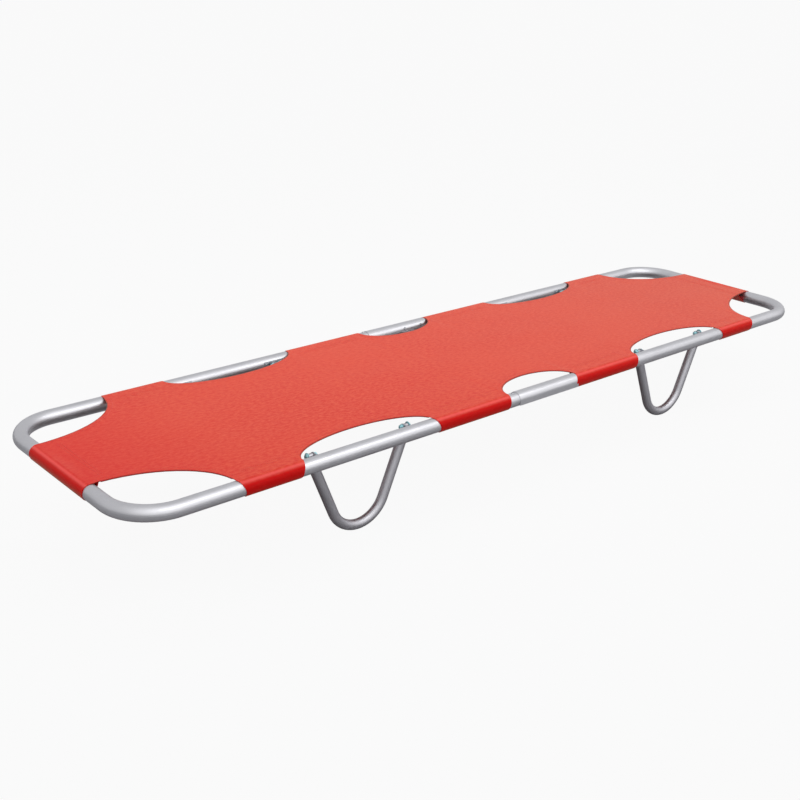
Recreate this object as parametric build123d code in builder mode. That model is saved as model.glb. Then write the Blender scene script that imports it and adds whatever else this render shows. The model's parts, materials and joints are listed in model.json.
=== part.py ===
from build123d import *
import math
import os

os.makedirs("parts", exist_ok=True)

# A stretcher that folds in half at mid length, on four V-shaped legs that fold inward.
# Millimetres. X runs along the stretcher (the head half is at -X, the foot half at +X),
# Y across it and Z up. The origin is on the ground below the centre.

# Driving dimensions: frame
OVERALL_LENGTH = 2080.0
RAIL_SPACING = 520.0  # between the centre lines of the two side rails
RAIL_HEIGHT = 194.0  # centre line of the rails above the ground
RAIL_R = 16.0
RAIL_WALL = 1.5
CORNER_R = 95.0
BUTT_GAP = 0.25  # from mid length to the end of each half's tube
PLUG_LENGTH = 18.0
PLUG_EDGE = 0.6

# Driving dimensions: legs
LEG_X = 502.0  # centre of each leg
LEG_HALF_SPAN = 124.0  # from the centre of a leg to its pivots
PIVOT_INBOARD = 30.0  # from the rail's centre line to the leg's plane
PIVOT_RISE = 3.0
LEG_R = 11.0
LEG_WALL = 1.5
FOOT_BEND_R = 70.0
LEG_TUBE_START = 20.0  # along the arm, from the pivot to the end of the tube

# Driving dimensions: leg pivots
BOLT_R = 3.0
BOLT_PLAY = 0.06
BARREL_R = 5.5
BARREL_OUT = 3.5  # from the arm's axis, away from the leg's centre
BARREL_IN = 7.5  # from the arm's axis, toward the leg's centre
BARREL_GAP = 0.4  # from the barrel to the ear and to the bolt's head
EAR_R = 6.5
EAR_THICKNESS = 3.0
STRAP_HALF_LENGTH = 26.0
STRAP_THICKNESS = 2.0
STRAP_HALF_HEIGHT = 8.0
BOLT_HEAD_R = 8.0
NUT_FLATS = 10.0

# Driving dimensions: rivets
RIVET_R = 2.4
RIVET_HOLE_R = 2.45
RIVET_HEAD_R = 4.2
RIVET_HEAD_HEIGHT = 1.6
RIVET_TAPER = 35.0
RIVET_TAIL = 1.0  # inside the tube wall

# Driving dimensions: fold hinge
HINGE_DROP = 19.0  # from the rails' centre line down to the fold axis
LEAF_THICKNESS = 3.0
HEAD_LEAF_FACE = 18.0  # outboard face of the head leaf, inboard of the rail's centre line
FOOT_LEAF_FACE = 21.4
LEAF_START = 12.0
LEAF_END = 62.0
SADDLE_START = 22.0
LEAF_TOP = -2.0
LEAF_BOTTOM = -12.0
EYE_R = 7.0
PIN_R = 4.0
PIN_HEAD_R = 6.5

# Driving dimensions: joint sleeves
SLEEVE_HEAD_END = -86.0
SLEEVE_FOOT_END = 106.0
SLEEVE_BORE_R = 16.2
SLEEVE_THICKNESS = 1.0
SLEEVE_OUTER_SKIRT = 10.0

# Driving dimensions: canvas
POCKET_BORE_R = 16.3
CLOTH = 1.2
PANEL_INSET = 7.0  # from the rail's centre line to the edge of the flat bed
PANEL_GAP = 0.6
MID_CUT_HALF = 109.0
LEG_CUT_START = 329.0
LEG_CUT_END = 668.0
CUT_DEPTH = 65.0
CORNER_CUT_X = 214.0
CORNER_CUT_Y = 150.0

FIT = 0.05  # between a piece and the tube that it hugs

# Worked out from the driving dimensions
rail_y = RAIL_SPACING / 2
end_x = OVERALL_LENGTH / 2 - RAIL_R
pivot_z = RAIL_HEIGHT + PIVOT_RISE
hug_r = RAIL_R + FIT
strap_r = hug_r + STRAP_THICKNESS
pocket_r = POCKET_BORE_R + CLOTH
sleeve_r = SLEEVE_BORE_R + SLEEVE_THICKNESS
head_start = BARREL_OUT + BARREL_GAP
ear_start = BARREL_IN + BARREL_GAP
nut_start = ear_start + EAR_THICKNESS + FIT
leg_cut_x = (LEG_CUT_START + LEG_CUT_END) / 2
leg_cut_half = (LEG_CUT_END - LEG_CUT_START) / 2
pocket_end_x = end_x - CORNER_CUT_X
pocket_end_y = rail_y - CORNER_CUT_Y

# The two arms of a leg lean in by arm_angle and meet in an arc that rests on the ground.
foot_drop = pivot_z - LEG_R
arc_reach = math.hypot(LEG_HALF_SPAN, foot_drop - FOOT_BEND_R)
arc_turn = math.atan2(foot_drop - FOOT_BEND_R, LEG_HALF_SPAN)
arm_angle = math.acos(FOOT_BEND_R / arc_reach) - arc_turn
arms_meet_z = pivot_z - LEG_HALF_SPAN / math.tan(arm_angle)

HALVES = {"head": -1, "foot": 1}
SIDES = {"near": -1, "far": 1}

BRACKET_RIVET_X = 19.0
BRACKET_RIVET_ANGLE = 8.0
LEAF_RIVET_X = (28.0, 50.0)
LEAF_RIVET_Z = -7.0
LEAF_RIVET_END = 10.0  # from the rail's centre line to the shank's end
SLEEVE_RIVET_X = (30.0, 84.0)
SLEEVE_RIVET_ANGLE = 22.0
STOP_RIVET_X = -95.0
STOP_RIVET_ANGLE = 90.0


def section_plane(x, side):
    """Cross-section of a side rail: local X points inboard and local Y up."""
    return Plane(origin=(x, side * rail_y, RAIL_HEIGHT), x_dir=(0, -side, 0), z_dir=(-side, 0, 0))


def radial_plane(x, side, angle):
    """Plane through a rail's axis, facing inboard and raised by angle."""
    turn = math.radians(angle)
    facing = (0, -side * math.cos(turn), math.sin(turn))
    return Plane(origin=(x, side * rail_y, RAIL_HEIGHT), x_dir=(1, 0, 0), z_dir=facing)


def level_plane(x, side, z):
    """Plane over a rail's axis, facing inboard, at height z from the axis."""
    return Plane(origin=(x, side * rail_y, RAIL_HEIGHT + z), x_dir=(1, 0, 0), z_dir=(0, -side, 0))


def pivots(half):
    """X of the two pivots of a leg, with the direction away from the leg's centre."""
    return [(half * LEG_X + away * LEG_HALF_SPAN, away) for away in (-1, 1)]


def bracket_rivet_planes(half, side):
    return [
        radial_plane(x + shift, side, BRACKET_RIVET_ANGLE)
        for x, away in pivots(half)
        for shift in (-BRACKET_RIVET_X, BRACKET_RIVET_X)
    ]


def leaf_rivet_planes(half):
    return [level_plane(half * x, side, LEAF_RIVET_Z) for side in SIDES.values() for x in LEAF_RIVET_X]


def sleeve_rivet_planes(side):
    return [radial_plane(x, side, SLEEVE_RIVET_ANGLE) for x in SLEEVE_RIVET_X]


def stop_rivet_planes():
    return [radial_plane(STOP_RIVET_X, side, STOP_RIVET_ANGLE) for side in SIDES.values()]


def save(piece, name):
    piece.part.label = name
    export_step(piece.part, f"parts/{name}.step")


def frame_tube(name, half):
    """U of round tube: two side rails and an end rail, drilled for its rivets."""
    holes = leaf_rivet_planes(half)
    for side in SIDES.values():
        holes += bracket_rivet_planes(half, side)
        if half > 0:
            holes += sleeve_rivet_planes(side)
    if half < 0:
        holes += stop_rivet_planes()
    with BuildPart() as tube:
        with BuildLine(Plane.XY.offset(RAIL_HEIGHT)) as route:
            FilletPolyline(
                (half * BUTT_GAP, -rail_y),
                (half * end_x, -rail_y),
                (half * end_x, rail_y),
                (half * BUTT_GAP, rail_y),
                radius=CORNER_R,
            )
        with BuildSketch(Plane(origin=route.line @ 0, z_dir=route.line % 0)):
            Circle(RAIL_R)
            Circle(RAIL_R - RAIL_WALL, mode=Mode.SUBTRACT)
        sweep(path=route.line)
        for hole in holes:
            with BuildSketch(hole.offset(RAIL_R / 2)):
                Circle(RIVET_HOLE_R)
            extrude(amount=RAIL_R, mode=Mode.SUBTRACT)
    save(tube, name)


def tube_plugs(name, half):
    """Plugs that close the two tube ends at the fold."""
    with BuildPart() as plugs:
        for side in SIDES.values():
            with BuildSketch(section_plane(half * (BUTT_GAP + PLUG_LENGTH / 2), side)):
                Circle(RAIL_R - RAIL_WALL - FIT)
            extrude(amount=PLUG_LENGTH / 2, both=True)
        chamfer(plugs.edges().filter_by(GeomType.CIRCLE), length=PLUG_EDGE)
    save(plugs, name)


def rivets(name, planes, seat, depth):
    """Round-headed rivets: the head sits at seat from each plane, the shank goes depth below it."""
    with BuildPart() as group:
        for plane in planes:
            with BuildSketch(plane.offset(seat - depth)):
                Circle(RIVET_R)
            extrude(amount=depth)
            with BuildSketch(plane.offset(seat)):
                Circle(RIVET_HEAD_R)
            extrude(amount=RIVET_HEAD_HEIGHT, taper=RIVET_TAPER)
    save(group, name)


def hinge_leaves(name, half, face):
    """Two flat leaves with an eye below the butt joint, each on a saddle that hugs its rail."""
    hole_r = PIN_R + (BOLT_PLAY if half > 0 else FIT / 2)
    plate_middle = (LEAF_START + LEAF_END) / 2
    plate_length = LEAF_END - LEAF_START
    plate_height = LEAF_TOP - LEAF_BOTTOM
    plate_z = (LEAF_TOP + LEAF_BOTTOM) / 2
    saddle_middle = (SADDLE_START + LEAF_END) / 2
    with BuildPart() as leaves:
        for side in SIDES.values():
            with BuildSketch(level_plane(0, side, 0).offset(face)):
                # Local Y points up on the far side and down on the near side.
                with Locations((half * plate_middle, side * plate_z)):
                    Rectangle(plate_length, plate_height)
                with Locations((0, -side * HINGE_DROP)):
                    Circle(EYE_R)
                make_hull()
                with Locations((0, -side * HINGE_DROP)):
                    Circle(hole_r, mode=Mode.SUBTRACT)
            extrude(amount=LEAF_THICKNESS)
            with BuildSketch(level_plane(half * saddle_middle, side, plate_z).offset(RAIL_R / 2)):
                Rectangle(LEAF_END - SADDLE_START, plate_height)
            extrude(amount=face - RAIL_R / 2)
            with BuildSketch(section_plane(half * plate_middle, side)):
                Circle(hug_r)
            extrude(amount=plate_length, both=True, mode=Mode.SUBTRACT)
            for x in LEAF_RIVET_X:
                with BuildSketch(level_plane(half * x, side, LEAF_RIVET_Z)):
                    Circle(RIVET_HOLE_R)
                extrude(amount=face + LEAF_THICKNESS, mode=Mode.SUBTRACT)
    save(leaves, name)


def hinge_pins(name):
    """Headed pins through both leaves, peened over a washer at the inboard end."""
    inner_face = FOOT_LEAF_FACE + LEAF_THICKNESS + FIT
    outer_head = 1.2
    shank = inner_face - HEAD_LEAF_FACE + outer_head
    with BuildPart() as pins:
        for side in SIDES.values():
            plane = level_plane(0, side, -HINGE_DROP)
            with BuildSketch(plane.offset(HEAD_LEAF_FACE - outer_head)):
                Circle(PIN_HEAD_R)
            extrude(amount=outer_head)
            with BuildSketch(plane.offset(HEAD_LEAF_FACE - outer_head)):
                Circle(PIN_R)
            extrude(amount=shank)
            with BuildSketch(plane.offset(inner_face)):
                Circle(PIN_HEAD_R)
            extrude(amount=RIVET_HEAD_HEIGHT, taper=RIVET_TAPER)
    save(pins, name)


def joint_sleeve(name, side):
    """Saddle sleeve, open below, that bridges the butt joint and lifts off the head tube as it folds."""
    length = SLEEVE_FOOT_END - SLEEVE_HEAD_END
    middle = (SLEEVE_FOOT_END + SLEEVE_HEAD_END) / 2
    with BuildPart() as sleeve:
        with BuildSketch(section_plane(middle, side)):
            with BuildLine():
                ThreePointArc((-sleeve_r, 0), (0, sleeve_r), (sleeve_r, 0))
                Line((sleeve_r, 0), (SLEEVE_BORE_R, 0))
                ThreePointArc((SLEEVE_BORE_R, 0), (0, SLEEVE_BORE_R), (-SLEEVE_BORE_R, 0))
                Line((-SLEEVE_BORE_R, 0), (-SLEEVE_BORE_R, -SLEEVE_OUTER_SKIRT))
                Line((-SLEEVE_BORE_R, -SLEEVE_OUTER_SKIRT), (-sleeve_r, -SLEEVE_OUTER_SKIRT))
                Line((-sleeve_r, -SLEEVE_OUTER_SKIRT), (-sleeve_r, 0))
            make_face()
        extrude(amount=length / 2, both=True)
        for hole in sleeve_rivet_planes(side):
            with BuildSketch(hole.offset(RAIL_R / 2)):
                Circle(RIVET_HOLE_R)
            extrude(amount=RAIL_R, mode=Mode.SUBTRACT)
    save(sleeve, name)


def leg_brackets(name, half, side):
    """Two straps that hug the rail, each with an ear that carries a pivot bolt."""
    with BuildPart() as brackets:
        for x, away in pivots(half):
            with BuildSketch(section_plane(x, side)):
                Circle(strap_r)
                with Locations((strap_r, 0)):
                    Rectangle(2 * (strap_r - RAIL_R / 2), 2 * STRAP_HALF_HEIGHT, mode=Mode.INTERSECT)
            extrude(amount=STRAP_HALF_LENGTH, both=True)
            with BuildSketch(section_plane(x - away * (ear_start + EAR_THICKNESS / 2), side)):
                with Locations((PIVOT_INBOARD, PIVOT_RISE)):
                    Circle(EAR_R)
                with Locations((RAIL_R, 0)):
                    Rectangle(STRAP_THICKNESS, 2 * STRAP_HALF_HEIGHT)
                make_hull()
                with Locations((PIVOT_INBOARD, PIVOT_RISE)):
                    Circle(BOLT_R + FIT, mode=Mode.SUBTRACT)
            extrude(amount=EAR_THICKNESS / 2, both=True)
            with BuildSketch(section_plane(x, side)):
                Circle(hug_r)
            extrude(amount=2 * STRAP_HALF_LENGTH, both=True, mode=Mode.SUBTRACT)
        for hole in bracket_rivet_planes(half, side):
            with BuildSketch(hole):
                Circle(RIVET_HOLE_R)
            extrude(amount=strap_r + STRAP_THICKNESS, mode=Mode.SUBTRACT)
    save(brackets, name)


def pivot_bolts(name, half, side):
    """Shoulder bolts whose broad round heads hold the legs' eyes against the ears."""
    flange = 1.4
    flange_rim = 1.0
    dome = 3.6
    thread_beyond = 4.0
    with BuildPart() as bolts:
        for x, away in pivots(half):
            axis = Plane(
                origin=(x, side * (rail_y - PIVOT_INBOARD), pivot_z), x_dir=(0, 0, 1), z_dir=(away, 0, 0)
            )
            with BuildSketch(axis.offset(-nut_start - thread_beyond)):
                Circle(BOLT_R)
            extrude(amount=nut_start + thread_beyond + head_start)
            with BuildSketch(axis.offset(head_start)):
                Circle(BOLT_HEAD_R)
            extrude(amount=flange)
            with BuildSketch(axis.offset(head_start + flange)):
                Circle(BOLT_HEAD_R - flange_rim)
            extrude(amount=dome, taper=RIVET_TAPER)
    save(bolts, name)


def pivot_nuts(name, half, side):
    """Cap nuts on the inner ends of the pivot bolts."""
    height = 4.2
    cap_r = 4.2
    cap_height = 2.6
    with BuildPart() as nuts:
        for x, away in pivots(half):
            axis = Plane(
                origin=(x, side * (rail_y - PIVOT_INBOARD), pivot_z), x_dir=(0, 0, 1), z_dir=(-away, 0, 0)
            )
            with BuildSketch(axis.offset(nut_start)):
                RegularPolygon(radius=NUT_FLATS / 2, side_count=6, major_radius=False)
            extrude(amount=height)
            with BuildSketch(axis.offset(nut_start + height)):
                Circle(cap_r)
            extrude(amount=cap_height, taper=RIVET_TAPER / 2)
            with BuildSketch(axis.offset(nut_start)):
                Circle(BOLT_R + FIT)
            extrude(amount=height, mode=Mode.SUBTRACT)
    save(nuts, name)


def leg_tube(name, half, side):
    """Tube bent to a V with a rounded foot."""
    lean = (math.sin(arm_angle), -math.cos(arm_angle))
    left = (-LEG_HALF_SPAN + LEG_TUBE_START * lean[0], pivot_z + LEG_TUBE_START * lean[1])
    leg_plane = Plane(
        origin=(half * LEG_X, side * (rail_y - PIVOT_INBOARD), 0), x_dir=(1, 0, 0), z_dir=(0, -1, 0)
    )
    with BuildPart() as tube:
        with BuildLine(leg_plane) as route:
            FilletPolyline(left, (0, arms_meet_z), (-left[0], left[1]), radius=FOOT_BEND_R)
        with BuildSketch(Plane(origin=route.line @ 0, z_dir=route.line % 0)):
            Circle(LEG_R)
            Circle(LEG_R - LEG_WALL, mode=Mode.SUBTRACT)
        sweep(path=route.line)
    save(tube, name)


def eye_plugs(name, half, side):
    """End fittings of a leg: an eye on the pivot bolt and a plug in the tube."""
    neck_r = 3.5
    collar = 1.8
    plug_length = 24.0
    with BuildPart() as plugs:
        for x, away in pivots(half):
            pivot = (x, side * (rail_y - PIVOT_INBOARD), pivot_z)
            arm = Plane(
                origin=pivot, x_dir=(0, 1, 0), z_dir=(-away * math.sin(arm_angle), 0, -math.cos(arm_angle))
            )
            barrel = Plane(origin=pivot, x_dir=(0, 0, 1), z_dir=(-away, 0, 0)).offset(-BARREL_OUT)
            with BuildSketch(arm):
                Circle(neck_r)
            extrude(amount=LEG_TUBE_START)
            with BuildSketch(arm.offset(LEG_TUBE_START - collar)):
                Circle(LEG_R)
            extrude(amount=collar)
            with BuildSketch(arm.offset(LEG_TUBE_START)):
                Circle(LEG_R - LEG_WALL - FIT)
            extrude(amount=plug_length)
            with BuildSketch(barrel):
                Circle(BARREL_R)
            extrude(amount=BARREL_OUT + BARREL_IN)
            with BuildSketch(barrel):
                Circle(BOLT_R + BOLT_PLAY)
            extrude(amount=BARREL_OUT + BARREL_IN, mode=Mode.SUBTRACT)
    save(plugs, name)


def canvas_panel(name, half):
    """Flat bed of one half, cut away at the corners, above the legs and at mid length."""
    length = end_x - PANEL_INSET - PANEL_GAP
    with BuildPart() as panel:
        with BuildSketch(Plane.XY.offset(RAIL_HEIGHT + POCKET_BORE_R)):
            with Locations((half * (PANEL_GAP + length / 2), 0)):
                Rectangle(length, 2 * (rail_y - PANEL_INSET))
            for side in SIDES.values():
                with Locations((0, side * rail_y)):
                    Ellipse(MID_CUT_HALF, CUT_DEPTH, mode=Mode.SUBTRACT)
                with Locations((half * leg_cut_x, side * rail_y)):
                    Ellipse(leg_cut_half, CUT_DEPTH, mode=Mode.SUBTRACT)
                with Locations((half * end_x, side * rail_y)):
                    Ellipse(CORNER_CUT_X, CORNER_CUT_Y, mode=Mode.SUBTRACT)
        extrude(amount=CLOTH)
    save(panel, name)


def canvas_pockets(name, half):
    """Tubes of cloth that wrap the rails between the cut-outs."""
    stretches = ((MID_CUT_HALF, LEG_CUT_START), (LEG_CUT_END, pocket_end_x))
    with BuildPart() as pockets:
        for side in SIDES.values():
            for start, end in stretches:
                with BuildSketch(section_plane(half * (start + end) / 2, side)):
                    Circle(pocket_r)
                    Circle(POCKET_BORE_R, mode=Mode.SUBTRACT)
                extrude(amount=(end - start) / 2, both=True)
        end_rail = Plane(origin=(half * end_x, 0, RAIL_HEIGHT), x_dir=(1, 0, 0), z_dir=(0, 1, 0))
        with BuildSketch(end_rail):
            Circle(pocket_r)
            Circle(POCKET_BORE_R, mode=Mode.SUBTRACT)
        extrude(amount=pocket_end_y, both=True)
    save(pockets, name)


LEAF_FACES = {"head": HEAD_LEAF_FACE, "foot": FOOT_LEAF_FACE}

for half_name, half in HALVES.items():
    frame_tube(f"{half_name}_frame_tube", half)
    tube_plugs(f"{half_name}_tube_plugs", half)
    leaf_face = LEAF_FACES[half_name]
    hinge_leaves(f"{half_name}_hinge_leaves", half, leaf_face)
    leaf_seat = leaf_face + LEAF_THICKNESS
    rivets(f"{half_name}_leaf_rivets", leaf_rivet_planes(half), leaf_seat, leaf_seat - LEAF_RIVET_END)
    canvas_panel(f"{half_name}_canvas_panel", half)
    canvas_pockets(f"{half_name}_canvas_pockets", half)
    for side_name, side in SIDES.items():
        leg = f"{half_name}_{side_name}"
        leg_brackets(f"{leg}_leg_brackets", half, side)
        strap_grip = STRAP_THICKNESS + RAIL_WALL + RIVET_TAIL
        rivets(f"{leg}_bracket_rivets", bracket_rivet_planes(half, side), strap_r, strap_grip)
        pivot_bolts(f"{leg}_pivot_bolts", half, side)
        pivot_nuts(f"{leg}_pivot_nuts", half, side)
        leg_tube(f"{leg}_leg_tube", half, side)
        eye_plugs(f"{leg}_leg_eye_plugs", half, side)

hinge_pins("fold_hinge_pins")
for side_name, side in SIDES.items():
    joint_sleeve(f"{side_name}_joint_sleeve", side)
    sleeve_grip = SLEEVE_THICKNESS + RAIL_WALL + RIVET_TAIL
    rivets(f"{side_name}_sleeve_rivets", sleeve_rivet_planes(side), sleeve_r, sleeve_grip)
rivets("stop_rivets", stop_rivet_planes(), RAIL_R, RAIL_WALL + RIVET_TAIL)
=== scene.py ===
import json
import math

import bmesh
import bpy
import numpy as np
from mathutils import Matrix, Vector


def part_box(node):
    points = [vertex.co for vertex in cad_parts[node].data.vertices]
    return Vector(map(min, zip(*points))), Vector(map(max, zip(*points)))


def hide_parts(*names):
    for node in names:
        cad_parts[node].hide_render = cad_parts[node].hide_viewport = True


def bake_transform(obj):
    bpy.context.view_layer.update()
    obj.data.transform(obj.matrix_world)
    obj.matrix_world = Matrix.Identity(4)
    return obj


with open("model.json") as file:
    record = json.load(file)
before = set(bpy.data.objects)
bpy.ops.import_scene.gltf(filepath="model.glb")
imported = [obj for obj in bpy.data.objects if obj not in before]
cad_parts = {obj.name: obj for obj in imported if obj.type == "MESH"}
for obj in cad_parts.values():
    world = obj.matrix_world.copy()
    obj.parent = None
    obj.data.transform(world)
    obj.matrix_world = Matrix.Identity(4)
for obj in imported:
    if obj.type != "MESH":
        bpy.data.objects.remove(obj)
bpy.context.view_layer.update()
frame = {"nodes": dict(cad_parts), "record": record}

# ---------------------------------------------------------------- measures from the frame
tube_lo, tube_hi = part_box("head_frame_tube")
RAIL_R = (tube_hi.z - tube_lo.z) / 2
RAIL_Z = (tube_hi.z + tube_lo.z) / 2
RAIL_Y = tube_hi.y - RAIL_R
END_X = -tube_lo.x - RAIL_R


def node_points(name):
    return np.array([v.co for v in frame["nodes"][name].data.vertices], float).reshape(-1, 3)


pocket_points = node_points("foot_canvas_pockets")
panel_points = node_points("foot_canvas_panel")
pocket_out = (pocket_points[:, 2].max() - pocket_points[:, 2].min()) / 2
on_rail = pocket_points[np.abs(pocket_points[:, 1]) > RAIL_Y - pocket_out - 0.001]
on_end = pocket_points[np.abs(pocket_points[:, 1]) < RAIL_Y - 2 * pocket_out]
rail_ends = sorted(set(round(float(x), 4) for x in on_rail[:, 0]))
MID_CUT, CORNER_AT = rail_ends[0], rail_ends[-1]
LEG_CUT_A, LEG_CUT_B = rail_ends[1] + 0.001, rail_ends[2] - 0.006  # the cloth covers a little more here
END_POCKET = float(np.abs(on_end[:, 1]).max())
near_mid = panel_points[np.abs(panel_points[:, 0]) < 0.002]
CUT_DEPTH = RAIL_Y - float(np.abs(near_mid[:, 1]).max())
BED_TOP = float(panel_points[:, 2].max())

# lengths in metres; a dictionary gives the head half's value at -1 and the foot half's at 1
CLOTH = 0.0011
WRAP_R = BED_TOP - RAIL_Z - CLOTH / 2 - 0.0001  # middle of the cloth round a rail
BED_Z = RAIL_Z + WRAP_R
PLY_GAP = 0.00012  # between two layers of cloth that are sewn together
SIDE_SEAM = 0.024  # from a side rail's centre line to the sewn edge of its pocket
END_SEAM = {-1: 0.028, 1: 0.044}  # the same at the end rails
LAP = 0.013  # width of the sewn lap beyond a pocket's seam
SLANT = 0.009  # a pocket ends this much further back on a rail's outer side than on its top
MID_SLANT = {-1: 0.006, 1: -0.009}  # the same beside the middle cut-outs
UNDER_BACK = 0.014  # a side pocket's lap under the bed ends this much further back still
END_BACK = {-1: 0.020, 1: 0.0}  # how far each end pocket's lap tapers in under the bed
HEM = 0.013  # width of the hem turned under along a cut edge
HEM_CLEAR = 0.0085  # a hem stops where the rail leaves it less room than this
HEM_CREEP = 0.0003  # cloth used by each step of the hem's turn
EDGE_LINE = 0.0035  # width of the painted shade line along a cut edge
FOLD_R = CLOTH / 2 + 0.00006  # radius of the hem's turn
SEAM_INSET = 0.003  # from a row of stitches to the edge of its lap or hem
SEAM_END = 0.004  # a row of stitches stops this short of its lap's end
SAG, WAVE = 0.0009, 0.00022  # depth of the bed's sag and of its tension waves
QUARTER_TURN = WRAP_R * math.pi / 2  # cloth from the top of a rail to its outermost line

# ---------------------------------------------------------------- canvas


def half_width(x):
    """Half the width of the flat bed at x."""
    x = abs(x)
    if x < MID_CUT:
        return RAIL_Y - CUT_DEPTH * math.sqrt(max(0.0, 1 - (x / MID_CUT) ** 2))
    if LEG_CUT_A < x < LEG_CUT_B:
        middle, half = (LEG_CUT_A + LEG_CUT_B) / 2, (LEG_CUT_B - LEG_CUT_A) / 2
        return RAIL_Y - CUT_DEPTH * math.sqrt(max(0.0, 1 - ((x - middle) / half) ** 2))
    if x > CORNER_AT:
        share = (END_X - x) / (END_X - CORNER_AT)
        return RAIL_Y - (RAIL_Y - END_POCKET) * math.sqrt(max(0.0, 1 - share ** 2))
    return RAIL_Y


def even(a, b, step):
    n = max(1, round((b - a) / step))
    return [a + (b - a) * i / n for i in range(n + 1)]


def round_cut(middle, half, n):
    return [middle - half * math.cos(math.pi * i / n) for i in range(n + 1)]


quarter = [CORNER_AT + (END_X - CORNER_AT) * (1 - math.cos(math.pi / 2 * i / 16)) for i in range(17)]
positive = sorted(set(
    round(x, 7) for x in
    [x for x in round_cut(0.0, MID_CUT, 72) if x >= 0]
    + even(MID_CUT, LEG_CUT_A, 0.012)
    + round_cut((LEG_CUT_A + LEG_CUT_B) / 2, (LEG_CUT_B - LEG_CUT_A) / 2, 36)
    + even(LEG_CUT_B, CORNER_AT, 0.012)
    + quarter
))
stations = [-x for x in reversed(positive) if x > 0] + positive
ACROSS = 40


def sag(x, y):
    """A slight sag between the rails, with faint lengthwise tension waves."""
    e = half_width(x)
    inside = max(0.0, 1 - (y / e) ** 2)
    wave = WAVE * math.sin(9.0 * y / RAIL_Y + 1.3 * math.sin(5.1 * x)) * math.sin(7.3 * x + 2.0 * y)
    return (wave - SAG) * inside


class Cloth:
    """A cloth surface whose points carry their place on the flat cloth.

    Two more values at each point drive the canvas's painted light: how near it is to a cut edge, for a
    painted shade line, and how far the cloth has turned from the top of a rail (0) to its outermost line (1),
    for a painted highlight band and then painted shade.
    """

    def __init__(self):
        self.bm = bmesh.new()
        self.flat = {}
        self.cut_edge = self.bm.verts.layers.float.new("cut_edge")
        self.turned = self.bm.verts.layers.float.new("turned")

    def vert(self, co, flat):
        v = self.bm.verts.new(co)
        self.flat[v] = flat
        return v

    def grid(self, rows):
        for a, b in zip(rows[:-1], rows[1:]):
            for i in range(len(a) - 1):
                ring = [a[i], a[i + 1], b[i + 1], b[i]]
                if len(set(ring)) == 4:
                    self.bm.faces.new(ring)


def wrap_profile(seam):
    """A pocket's section from the top of its rail, round the outside and back to the bed.

    Each point is (distance outward of the rail's centre line, height, length of cloth so far).
    """
    points = []
    seam_out, seam_z = -seam, BED_Z - CLOTH - PLY_GAP
    distance = math.hypot(seam_out, seam_z - RAIL_Z)
    toward = math.atan2(seam_z - RAIL_Z, seam_out)
    leave = toward + math.acos(WRAP_R / distance)
    start = math.pi / 2
    sweep = start - (leave - 2 * math.pi)
    n = 26
    for i in range(n + 1):
        a = start - sweep * i / n
        points.append((WRAP_R * math.cos(a), RAIL_Z + WRAP_R * math.sin(a), WRAP_R * sweep * i / n))
    out, z, length = points[-1]
    run = math.hypot(seam_out - out, seam_z - z)
    for i in range(1, 7):
        t = i / 6
        belly = 0.0008 * math.sin(math.pi * t)
        points.append((out + (seam_out - out) * t, z + (seam_z - z) * t - belly, length + run * t))
    length += run
    for i in range(1, 4):
        t = i / 3
        points.append((seam_out - LAP * t, seam_z, length + LAP * t))
    return points


cloth = Cloth()
core = []
for x in stations:
    e = half_width(x)
    row = []
    for j in range(-ACROSS // 2, ACROSS // 2 + 1):
        u = math.sin(math.pi / 2 * j / (ACROSS // 2)) * 0.35 + 0.65 * j / (ACROSS // 2)
        y = e * u
        if abs(j) == ACROSS // 2 - 1:
            y = math.copysign(e - EDGE_LINE, j)
        row.append(cloth.vert((x, y, BED_Z + sag(x, y)), (x, y)))
    core.append(row)
cloth.grid(core)

side_profile = wrap_profile(SIDE_SEAM)
end_profile = {half: wrap_profile(seam) for half, seam in END_SEAM.items()}
side_length = side_profile[-1][2]


def station_range(a, b):
    return [i for i, x in enumerate(stations) if a - 1e-6 <= x <= b + 1e-6]


def side_pocket(side, half, a, b):
    """The pocket round a side rail from a to b off mid length, cut back at both ends as it goes under."""
    low, high = (a, b) if half > 0 else (-b, -a)
    rows = []
    for i in station_range(low, high):
        x = stations[i]
        row = [core[i][-1 if side > 0 else 0]]
        share = (abs(x) - a) / (b - a)
        for out, z, length in side_profile[1:]:
            under = UNDER_BACK * max(0.0, (length - QUARTER_TURN) / (side_length - QUARTER_TURN))
            turned = min(1.0, length / QUARTER_TURN)
            slant = SLANT * turned
            mid_slant = MID_SLANT[half] * turned * (1 - under / UNDER_BACK)
            first_end = under + (slant if a > MID_CUT else mid_slant)
            at = x + half * (first_end * (1 - share) - (slant + under) * share)
            row.append(cloth.vert((at, side * (RAIL_Y + out), z), (at, side * (RAIL_Y + length))))
            row[-1][cloth.turned] = turned
        rows.append(row)
    cloth.grid(rows)


def end_pocket(half):
    """The pocket round an end rail, its lap tapering in under the bed."""
    under_run = end_profile[half][-1][2] - QUARTER_TURN
    rows = []
    for v in core[-1] if half > 0 else core[0]:
        row = [v]
        for out, z, length in end_profile[half][1:]:
            tucked = max(0.0, (length - QUARTER_TURN) / under_run)
            across = v.co.y * (1 - END_BACK[half] * tucked / END_POCKET)
            row.append(cloth.vert((half * (END_X + out), across, z), (half * (END_X + length), across)))
            row[-1][cloth.turned] = min(1.0, length / QUARTER_TURN)
        rows.append(row)
    cloth.grid(rows)


for side in (-1, 1):
    for half in (-1, 1):
        side_pocket(side, half, MID_CUT, LEG_CUT_A)
        side_pocket(side, half, LEG_CUT_B, CORNER_AT)
for half in (-1, 1):
    end_pocket(half)


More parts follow.
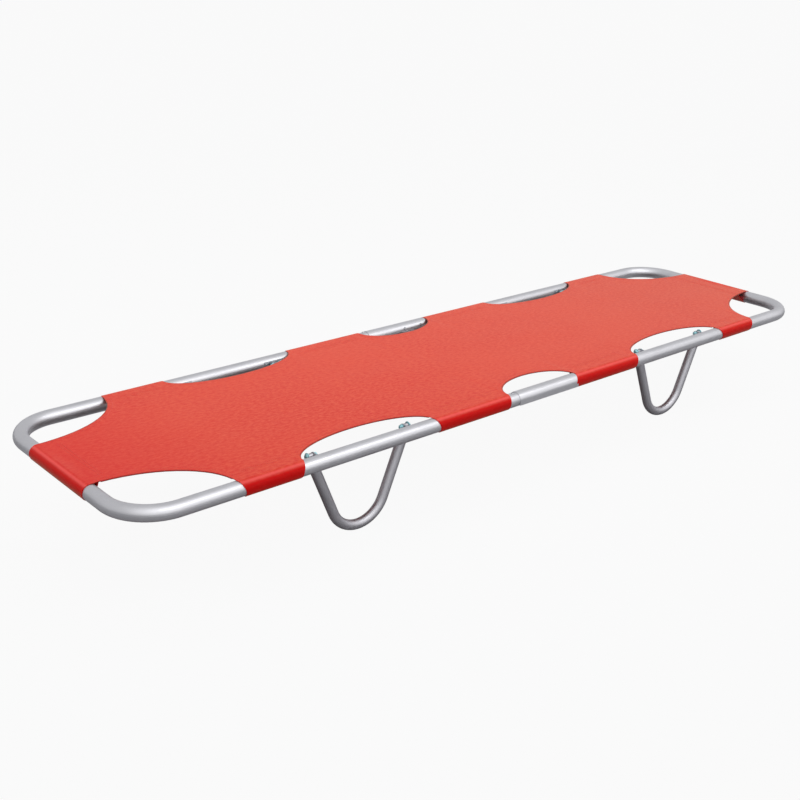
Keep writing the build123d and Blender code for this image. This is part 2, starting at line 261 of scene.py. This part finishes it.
def edge_line(points, outward):
    """Unit normals in the bed's plane along an edge, pointing out of the cloth."""
    normals = []
    for i in range(len(points)):
        a, b = points[max(0, i - 1)], points[min(len(points) - 1, i + 1)]
        t = (Vector(b) - Vector(a)).normalized()
        n = Vector((t.y, -t.x))
        if n.dot(Vector(outward(points[i]))) < 0:
            n = -n
        normals.append(n)
    return normals


hem_lines = []  # where each hem is sewn down


def hem(ids, side, outward):
    """A turned and sewn hem under the cloth along the bed's cut edge."""
    kept = [
        i for i in ids
        if RAIL_Y - half_width(stations[i]) >= HEM_CLEAR and END_X - abs(stations[i]) >= HEM_CLEAR
    ]
    edge = [core[i][-1 if side > 0 else 0] for i in kept]
    line = [(v.co.x, v.co.y) for v in edge]
    normals = edge_line(line, outward)
    rows = []
    for v, n in zip(edge, normals):
        # painted shade line: the cut edge is marked for darkening
        v[cloth.cut_edge] = 0.9
        row = [v]
        for k in range(1, 7):
            a = math.pi / 2 - math.pi * k / 6
            out, down = FOLD_R * math.cos(a), FOLD_R * (math.sin(a) - 1)
            row.append(cloth.vert(
                (v.co.x + n.x * out, v.co.y + n.y * out, v.co.z + down),
                (v.co.x + n.x * HEM_CREEP * k, v.co.y + n.y * HEM_CREEP * k),
            ))
        for k in range(1, 4):
            back = -HEM * k / 3
            row.append(cloth.vert(
                (v.co.x + n.x * back, v.co.y + n.y * back, v.co.z - 2 * FOLD_R),
                (v.co.x + n.x * (0.002 - back), v.co.y + n.y * (0.002 - back)),
            ))
        # painted shade line: the hem's turn is marked for darkening
        for fold_vert in row[2:7]:
            fold_vert[cloth.cut_edge] = 1.0
        rows.append(row)
    cloth.grid(rows)
    hem_lines.append([(Vector((p[0], p[1])) - n * (HEM - SEAM_INSET), n) for p, n in zip(line, normals)])


leg_middle = (LEG_CUT_A + LEG_CUT_B) / 2
for side in (-1, 1):
    hem(station_range(-MID_CUT + 1e-5, MID_CUT - 1e-5), side, lambda p: (-p[0], side * RAIL_Y - p[1]))
    for half in (-1, 1):
        low, high = sorted((half * (LEG_CUT_A + 1e-5), half * (LEG_CUT_B - 1e-5)))
        hem(station_range(low, high), side, lambda p: (half * leg_middle - p[0], side * RAIL_Y - p[1]))
        low, high = sorted((half * (CORNER_AT + 1e-5), half * (END_X - 1e-5)))
        hem(station_range(low, high), side, lambda p: (half * END_X - p[0], side * RAIL_Y - p[1]))


def sharpen(mesh, degrees):
    """Smooth shading with sharp edges where faces meet at more than this angle."""
    bm = bmesh.new()
    bm.from_mesh(mesh)
    for f in bm.faces:
        f.smooth = True
    for e in bm.edges:
        if len(e.link_faces) == 2:
            e.smooth = e.calc_face_angle(0.0) < math.radians(degrees)
    bm.to_mesh(mesh)
    bm.free()


def apply_modifiers(obj):
    bpy.context.view_layer.update()
    graph = bpy.context.evaluated_depsgraph_get()
    baked = bpy.data.meshes.new_from_object(obj.evaluated_get(graph))
    obj.modifiers.clear()
    obj.data = baked


def link(name, data):
    obj = bpy.data.objects.new(name, data)
    bpy.context.scene.collection.objects.link(obj)
    return obj


bmesh.ops.recalc_face_normals(cloth.bm, faces=cloth.bm.faces)
cloth.bm.verts.index_update()
uv_layer = cloth.bm.loops.layers.uv.new("flat_cloth")
for f in cloth.bm.faces:
    for loop in f.loops:
        loop[uv_layer].uv = cloth.flat[loop.vert]
canvas_mesh = bpy.data.meshes.new("canvas")
cloth.bm.to_mesh(canvas_mesh)
cloth.bm.free()
canvas = link("canvas", canvas_mesh)
solid = canvas.modifiers.new("thickness", "SOLIDIFY")
solid.thickness = CLOTH
solid.offset = 0
apply_modifiers(canvas)
sharpen(canvas.data, 38)

# ---------------------------------------------------------------- stitches
STITCH = 0.0032
STITCH_GAP = 0.0012
THREAD_R = 0.00032


def along(points, step):
    """Points a step apart along a line, with the line's direction there."""
    pts = np.array(points, float)
    seg = np.linalg.norm(np.diff(pts, axis=0), axis=1)
    at = np.concatenate([[0], np.cumsum(seg)])
    n = max(1, int(at[-1] / step))
    out = []
    for i in range(n):
        s = at[-1] * (i + 0.5) / n
        p = np.array([np.interp(s, at, pts[:, k]) for k in range(3)])
        q = np.array([np.interp(min(s + 1e-4, at[-1]), at, pts[:, k]) for k in range(3)])
        r = np.array([np.interp(max(s - 1e-4, 0), at, pts[:, k]) for k in range(3)])
        out.append((Vector(p), Vector(q - r).normalized()))
    return out


def stitch_rows(name, lines):
    """Rows of lockstitches lying on the cloth, each a short bulging thread dipping in at its ends."""
    bm = bmesh.new()
    for line, up in lines:
        for p, d in along(line, STITCH + STITCH_GAP):
            side = d.cross(up).normalized()
            rings = []
            for k in range(5):
                t = -1 + 2 * k / 4
                lift = THREAD_R * (1.25 * (1 - t * t) - 0.55)
                r = THREAD_R * (0.55 + 0.45 * (1 - t * t))
                centre = p + d * (STITCH / 2 * t) + up * lift
                ring = []
                for m in range(5):
                    a = 2 * math.pi * m / 5
                    ring.append(bm.verts.new(centre + side * (r * math.cos(a)) + up * (r * math.sin(a))))
                rings.append(ring)
            for a, b in zip(rings[:-1], rings[1:]):
                for m in range(5):
                    bm.faces.new((a[m], a[(m + 1) % 5], b[(m + 1) % 5], b[m]))
            bm.faces.new(list(reversed(rings[0])))
            bm.faces.new(rings[-1])
    bmesh.ops.recalc_face_normals(bm, faces=bm.faces)
    for f in bm.faces:
        f.smooth = True
    mesh = bpy.data.meshes.new(name)
    bm.to_mesh(mesh)
    bm.free()
    return link(name, mesh)


UP = Vector((0, 0, 1))
UNDER_LAP = BED_Z - CLOTH * 1.5 - PLY_GAP
seam_lines = []
for inset in (SEAM_INSET, LAP - SEAM_INSET):
    for side in (-1, 1):
        for half in (-1, 1):
            for a, b in ((MID_CUT, LEG_CUT_A), (LEG_CUT_B, CORNER_AT)):
                y = side * (RAIL_Y - SIDE_SEAM - inset)
                ends = SEAM_END + SLANT + UNDER_BACK
                xs = even(half * (a + ends), half * (b - ends), 0.01)
                top = [(x, y, BED_Z + sag(x, y) + CLOTH / 2) for x in xs]
                seam_lines.append((top, UP))
                seam_lines.append(([(x, y, UNDER_LAP) for x in xs], -UP))
    for half in (-1, 1):
        x = half * (END_X - END_SEAM[half] - inset)
        reach = END_POCKET - END_BACK[half] - SEAM_END
        ys = even(-reach, reach, 0.01)
        seam_lines.append(([(x, y, BED_Z + sag(x, y) + CLOTH / 2) for y in ys], UP))
        seam_lines.append(([(x, y, UNDER_LAP) for y in ys], -UP))
for line in hem_lines:
    top = [(p.x, p.y, BED_Z + sag(p.x, p.y) + CLOTH / 2) for p, n in line]
    under = [(p.x, p.y, BED_Z - 2 * FOLD_R - CLOTH / 2) for p, n in line]
    seam_lines.append((top, UP))
    seam_lines.append((under, -UP))
stitches = stitch_rows("canvas_stitches", seam_lines)

# ---------------------------------------------------------------- materials


class Nodes:
    """Small helper to write a material's node tree."""

    def __init__(self, name):
        self.material = bpy.data.materials.new(name)
        self.material.use_nodes = True
        self.tree = self.material.node_tree
        self.shader = self.tree.nodes["Principled BSDF"]

    def add(self, kind, **values):
        node = self.tree.nodes.new(kind)
        for key, value in values.items():
            setattr(node, key, value)
        return node

    def join(self, a, b):
        self.tree.links.new(a, b)

    def put(self, socket, value):
        if isinstance(value, bpy.types.NodeSocket):
            self.join(value, socket)
        else:
            socket.default_value = value

    def math(self, operation, a, b=None, clamp=False):
        node = self.add("ShaderNodeMath", operation=operation, use_clamp=clamp)
        self.put(node.inputs[0], a)
        if b is not None:
            self.put(node.inputs[1], b)
        return node.outputs[0]

    def noise(self, vector, scale, detail=2.0, rough=0.5):
        node = self.add("ShaderNodeTexNoise")
        self.join(vector, node.inputs["Vector"])
        node.inputs["Scale"].default_value = scale
        node.inputs["Detail"].default_value = detail
        node.inputs["Roughness"].default_value = rough
        return node.outputs["Fac"]

    def stretch(self, vector, scale):
        node = self.add("ShaderNodeMapping")
        self.join(vector, node.inputs["Vector"])
        node.inputs["Scale"].default_value = scale
        return node.outputs["Vector"]

    def spread(self, value, low, high, to_low, to_high):
        node = self.add("ShaderNodeMapRange", clamp=True)
        self.put(node.inputs["Value"], value)
        for key, v in (("From Min", low), ("From Max", high), ("To Min", to_low), ("To Max", to_high)):
            node.inputs[key].default_value = v
        return node.outputs["Result"]

    def mix(self, factor, a, b, blend="MIX"):
        node = self.add("ShaderNodeMix", data_type="RGBA", blend_type=blend)
        self.put(node.inputs["Factor"], factor)
        self.put(node.inputs[6], a)
        self.put(node.inputs[7], b)
        return node.outputs[2]

    def bump(self, height, strength, distance, normal=None):
        node = self.add("ShaderNodeBump")
        self.join(height, node.inputs["Height"])
        node.inputs["Strength"].default_value = strength
        node.inputs["Distance"].default_value = distance
        if normal is not None:
            self.join(normal, node.inputs["Normal"])
        return node.outputs["Normal"]

    def object_coords(self):
        return self.add("ShaderNodeTexCoord").outputs["Object"]


def linear(r, g, b):
    """An sRGB colour given as 0-255 numbers, as the linear colour that a shader takes."""
    def one(c):
        c /= 255
        return c / 12.92 if c <= 0.04045 else ((c + 0.055) / 1.055) ** 2.4
    return (one(r), one(g), one(b), 1.0)


WEAVE_REPEAT = 0.0016


def canvas_material():
    """Red coated canvas: woven, slubbed and mottled, with painted light: paler on top, a painted highlight
    band round the rails, painted shade in deep red on the pockets' sides, and a painted shade line along the
    cut edges.
    """
    m = Nodes("red_canvas")
    uv = m.add("ShaderNodeUVMap", uv_map="flat_cloth").outputs["UV"]
    sep = m.add("ShaderNodeSeparateXYZ")
    m.join(uv, sep.inputs[0])
    x, y = sep.outputs[0], sep.outputs[1]
    pitch = 2 * math.pi / WEAVE_REPEAT
    warp = m.math("SINE", m.math("MULTIPLY", x, pitch))
    weft = m.math("SINE", m.math("MULTIPLY", y, pitch))
    weave = m.math("MULTIPLY", warp, weft)
    slub_x = m.noise(m.stretch(uv, (18, 420, 1)), 1.0, 3.0, 0.6)
    slub_y = m.noise(m.stretch(uv, (420, 18, 1)), 1.0, 3.0, 0.6)
    slubs = m.math("ADD", slub_x, slub_y)
    mottle = m.noise(m.stretch(uv, (90, 150, 1)), 1.0, 4.0, 0.65)
    broad = m.noise(uv, 3.2, 3.0, 0.55)
    # the top of the bed, its salmon tone partly painted sheen, and painted shade: a deeper red towards the
    # head end
    tone = m.mix(m.spread(mottle, 0.36, 0.64, 0.0, 1.0), linear(210, 42, 38), linear(223, 85, 63))
    tone = m.mix(m.spread(slubs, 0.75, 1.25, 0.35, 0.0), tone, linear(202, 44, 40))
    tone = m.mix(m.spread(broad, 0.35, 0.65, 0.0, 0.35), tone, linear(222, 76, 56))
    tone = m.mix(m.spread(x, -END_X, -END_X + 0.3, 0.5, 0.0), tone, linear(212, 22, 32))
    # round a rail: a painted highlight, a pale band where the cloth rounds the rail's top, then painted
    # shade, a deep red
    turned = m.add("ShaderNodeAttribute", attribute_name="turned").outputs["Fac"]
    painted_highlight_start, painted_highlight_end = m.spread(turned, 0.16, 0.30, 0.0, 1.0), m.spread(turned, 0.38, 0.56, 1.0, 0.0)
    # painted highlight band along the rail's upper rounding
    tone = m.mix(m.math("MULTIPLY", m.math("MULTIPLY", painted_highlight_start, painted_highlight_end), 0.75), tone, linear(246, 92, 88))
    # painted shade: the pocket's sides deep red where the cloth turns down the rail's outer side
    tone = m.mix(m.spread(turned, 0.40, 0.62, 0.0, 0.9), tone, linear(226, 0, 6))
    # painted shade: a dark line along a cut edge, where the hem's turned edge is in shade
    painted_edge_shade = m.add("ShaderNodeAttribute", attribute_name="cut_edge").outputs["Fac"]
    tone = m.mix(m.math("MULTIPLY", painted_edge_shade, 0.85), tone, linear(118, 34, 30))
    m.join(tone, m.shader.inputs["Base Color"])
    m.join(m.spread(slubs, 0.7, 1.3, 0.46, 0.58), m.shader.inputs["Roughness"])
    m.shader.inputs["IOR"].default_value = 1.12
    m.shader.inputs["Sheen Weight"].default_value = 0.60
    m.shader.inputs["Sheen Roughness"].default_value = 0.30
    m.shader.inputs["Sheen Tint"].default_value = (1.0, 0.82, 0.44, 1.0)
    m.shader.inputs["Coat Weight"].default_value = 0.70
    m.shader.inputs["Coat IOR"].default_value = 1.16
    m.shader.inputs["Coat Roughness"].default_value = 0.26
    height = m.math("ADD", m.math("MULTIPLY", weave, 0.35), m.math("MULTIPLY", slubs, 0.8))
    fine = m.bump(height, 0.25, 0.0004)
    m.join(m.bump(m.noise(uv, 14.0, 3.0, 0.5), 0.12, 0.004, fine), m.shader.inputs["Normal"])
    return m.material


def thread_material():
    m = Nodes("canvas_thread")
    coords = m.object_coords()
    twist = m.noise(coords, 2600.0, 2.0, 0.5)
    m.join(m.mix(twist, linear(190, 40, 34), linear(224, 84, 70)), m.shader.inputs["Base Color"])
    m.join(m.spread(twist, 0.3, 0.7, 0.5, 0.7), m.shader.inputs["Roughness"])
    m.join(m.bump(twist, 0.3, 0.0002), m.shader.inputs["Normal"])
    m.shader.inputs["Sheen Weight"].default_value = 0.2
    return m.material


def metal_material(name, low, high, rough_low, rough_high, grain, metallic=1.0, relief=0.10, seed=0.0):
    """Brushed or drawn metal: fine lines along the grain, cloudy variation, small scuffs."""
    m = Nodes(name)
    coords = m.object_coords()
    shift = m.add("ShaderNodeVectorMath", operation="ADD")
    m.join(coords, shift.inputs[0])
    shift.inputs[1].default_value = (seed, seed * 0.7, seed * 0.3)
    coords = shift.outputs[0]
    lines = m.noise(m.stretch(coords, grain), 1.0, 4.0, 0.65)
    cloud = m.noise(coords, 22.0, 4.0, 0.6)
    patch = m.noise(coords, 5.0, 2.0, 0.5)
    tone = m.math("ADD", m.math("MULTIPLY", lines, 0.55), m.math("MULTIPLY", cloud, 0.45))
    m.join(m.mix(m.spread(tone, 0.35, 0.65, 0.0, 1.0), low, high), m.shader.inputs["Base Color"])
    scuffs = m.spread(m.noise(m.stretch(coords, (60, 900, 900)), 1.0, 5.0, 0.7), 0.62, 0.72, 0.0, 1.0)
    rough = m.math("ADD", m.spread(tone, 0.3, 0.7, rough_low, rough_high), m.math("MULTIPLY", scuffs, 0.10))
    rough = m.math("ADD", rough, m.spread(patch, 0.35, 0.65, -0.03, 0.05))
    m.join(rough, m.shader.inputs["Roughness"])
    m.shader.inputs["Metallic"].default_value = metallic
    height = m.math("SUBTRACT", lines, m.math("MULTIPLY", scuffs, 0.25))
    m.join(m.bump(height, relief, 0.00015), m.shader.inputs["Normal"])
    return m.material


def plastic_material():
    m = Nodes("black_plastic")
    coords = m.object_coords()
    grain = m.noise(coords, 1400.0, 3.0, 0.6)
    m.join(m.mix(grain, linear(22, 22, 24), linear(36, 36, 38)), m.shader.inputs["Base Color"])
    m.join(m.spread(grain, 0.3, 0.7, 0.42, 0.6), m.shader.inputs["Roughness"])
    m.join(m.bump(grain, 0.2, 0.0003), m.shader.inputs["Normal"])
    return m.material


ALONG_X = (7.0, 700.0, 700.0)  # scale of the drawn lines of a rail, and of a leg
ALONG_Z = (500.0, 700.0, 9.0)
finishes = {
    "rail_aluminium": metal_material(
        "rail_aluminium", linear(218, 218, 222), linear(228, 228, 232), 0.38, 0.46, ALONG_X),
    "sleeve_aluminium": metal_material(
        "sleeve_aluminium", linear(222, 222, 226), linear(232, 232, 236), 0.36, 0.44, ALONG_X, seed=3.1),
    # the legs' aluminium is painted a little darker than the rails' as shade under the canvas
    "leg_aluminium": metal_material(
        "leg_aluminium", linear(198, 197, 202), linear(208, 207, 212), 0.44, 0.50, ALONG_Z,
        relief=0.015, seed=5.7),
    "rivet_aluminium": metal_material(
        "rivet_aluminium", linear(178, 178, 182), linear(205, 205, 210), 0.30, 0.42, (260, 260, 260),
        seed=1.9),
    "steel_fittings": metal_material(
        "steel_fittings", linear(176, 178, 184), linear(200, 202, 208), 0.36, 0.48, (180, 420, 420),
        seed=8.2),
    "zinc_plated_steel": metal_material(
        "zinc_plated_steel", linear(150, 208, 216), linear(182, 226, 232), 0.42, 0.54, (300, 300, 300),
        metallic=0.45, seed=2.4),
    "black_plastic": plastic_material(),
}
finishes["red_canvas"] = canvas_material()

slot_of = {part["node"]: part["material_slot"] for part in frame["record"]["subparts"]}
for name, obj in frame["nodes"].items():
    finish = finishes[slot_of[name]]
    if not obj.material_slots:
        obj.data.materials.append(finish)
    for material_slot in obj.material_slots:
        material_slot.material = finish

canvas.data.materials.append(finishes["red_canvas"])
stitches.data.materials.append(thread_material())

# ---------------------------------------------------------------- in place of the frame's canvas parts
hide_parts("head_canvas_panel", "foot_canvas_panel", "head_canvas_pockets", "foot_canvas_pockets")
for piece in (canvas, stitches):
    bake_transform(piece)

# ---------------------------------------------------------------- stage, light and camera
WHITE = 1.0


def stage_material():
    """Pale floor, shown as bright to the camera and a plain matt pale grey to everything else."""
    m = Nodes("pale_floor")
    m.shader.inputs["Base Color"].default_value = (0.29, 0.29, 0.30, 1)
    m.shader.inputs["Roughness"].default_value = 0.9
    m.shader.inputs["Specular IOR Level"].default_value = 0.1
    glow = m.add("ShaderNodeEmission")
    glow.inputs["Color"].default_value = (WHITE, WHITE, WHITE, 1)
    glow.inputs["Strength"].default_value = 1.0
    path = m.add("ShaderNodeLightPath")
    pick = m.add("ShaderNodeMixShader")
    m.join(m.math("MULTIPLY", path.outputs["Is Camera Ray"], 0.94), pick.inputs[0])
    m.join(m.shader.outputs[0], pick.inputs[1])
    m.join(glow.outputs[0], pick.inputs[2])
    m.join(pick.outputs[0], m.tree.nodes["Material Output"].inputs["Surface"])
    return m.material


floor_mesh = bpy.data.meshes.new("floor")
floor_bm = bmesh.new()
bmesh.ops.create_grid(floor_bm, x_segments=8, y_segments=8, size=45)
floor_bm.to_mesh(floor_mesh)
floor_bm.free()
floor = link("floor", floor_mesh)
floor.location = (0, 0, -0.0004)
floor_mesh.materials.append(stage_material())


def studio_world():
    """White to the camera, brighter from the near side in reflections, and weaker as diffuse light."""
    world = bpy.data.worlds.new("studio")
    world.use_nodes = True
    tree = world.node_tree
    background = tree.nodes["Background"]
    coords = tree.nodes.new("ShaderNodeTexCoord")
    facing = tree.nodes.new("ShaderNodeVectorMath")
    facing.operation = "DOT_PRODUCT"
    tree.links.new(coords.outputs["Generated"], facing.inputs[0])
    facing.inputs[1].default_value = (0, -0.79, 0.613)
    ramp = tree.nodes.new("ShaderNodeValToRGB")
    for place, grey in ((0.28, 0.60), (0.56, 0.70), (0.75, 1.14)):
        element = ramp.color_ramp.elements.new(place)
        element.color = (grey, grey, 1.01 * grey, 1)
    ramp.color_ramp.elements[0].color = (0.58, 0.58, 0.59, 1)
    ramp.color_ramp.elements[-1].color = (1.12, 1.12, 1.12, 1)
    tree.links.new(facing.outputs["Value"], ramp.inputs[0])
    light_path = tree.nodes.new("ShaderNodeLightPath")
    choose = tree.nodes.new("ShaderNodeMix")
    choose.data_type = "RGBA"
    tree.links.new(light_path.outputs["Is Camera Ray"], choose.inputs[0])
    tree.links.new(ramp.outputs[0], choose.inputs[6])
    choose.inputs[7].default_value = (WHITE, WHITE, WHITE, 1)
    tree.links.new(choose.outputs[2], background.inputs["Color"])
    strength = tree.nodes.new("ShaderNodeMapRange")
    strength.inputs["To Min"].default_value = 1.0
    strength.inputs["To Max"].default_value = 0.64
    tree.links.new(light_path.outputs["Is Diffuse Ray"], strength.inputs["Value"])
    tree.links.new(strength.outputs["Result"], background.inputs["Strength"])
    return world


bpy.context.scene.world = studio_world()


def area_light(name, where, at, size, power):
    data = bpy.data.lights.new(name, "AREA")
    data.shape = "RECTANGLE"
    data.size, data.size_y = size
    data.energy = power
    obj = link(name, data)
    obj.location = where
    direction = Vector(at) - Vector(where)
    obj.rotation_euler = direction.to_track_quat("-Z", "Y").to_euler()
    return obj


strip = area_light("strip", (0.3, -1.75, 2.3), (0, -0.25, RAIL_Z), (3.8, 0.7), 14)
strip.visible_diffuse = False
overhead = area_light("overhead", (0.1, 0.35, 2.7), (0, 0.1, RAIL_Z), (4.2, 1.6), 58)
overhead.visible_glossy = False

CAMERA_AT = (-1.83235, -1.86746, 1.13230)
YAW, PITCH, ROLL = math.radians(41.2516), math.radians(21.8623), math.radians(1.4439)
LENS = 51.9213


def studio_camera():
    forward = Vector((math.sin(YAW) * math.cos(PITCH), math.cos(YAW) * math.cos(PITCH), -math.sin(PITCH)))
    level = Vector((math.cos(YAW), -math.sin(YAW), 0))
    above = level.cross(forward)
    right = math.cos(ROLL) * level + math.sin(ROLL) * above
    up = -math.sin(ROLL) * level + math.cos(ROLL) * above
    data = bpy.data.cameras.new("camera")
    data.sensor_width = 36.0
    data.lens = LENS
    data.clip_start, data.clip_end = 0.05, 120.0
    camera = link("camera", data)
    turn = Matrix((right, up, -forward)).transposed().to_4x4()
    camera.matrix_world = Matrix.Translation(CAMERA_AT) @ turn
    return camera


bpy.context.scene.camera = studio_camera()
bpy.context.scene.view_settings.view_transform = "Standard"
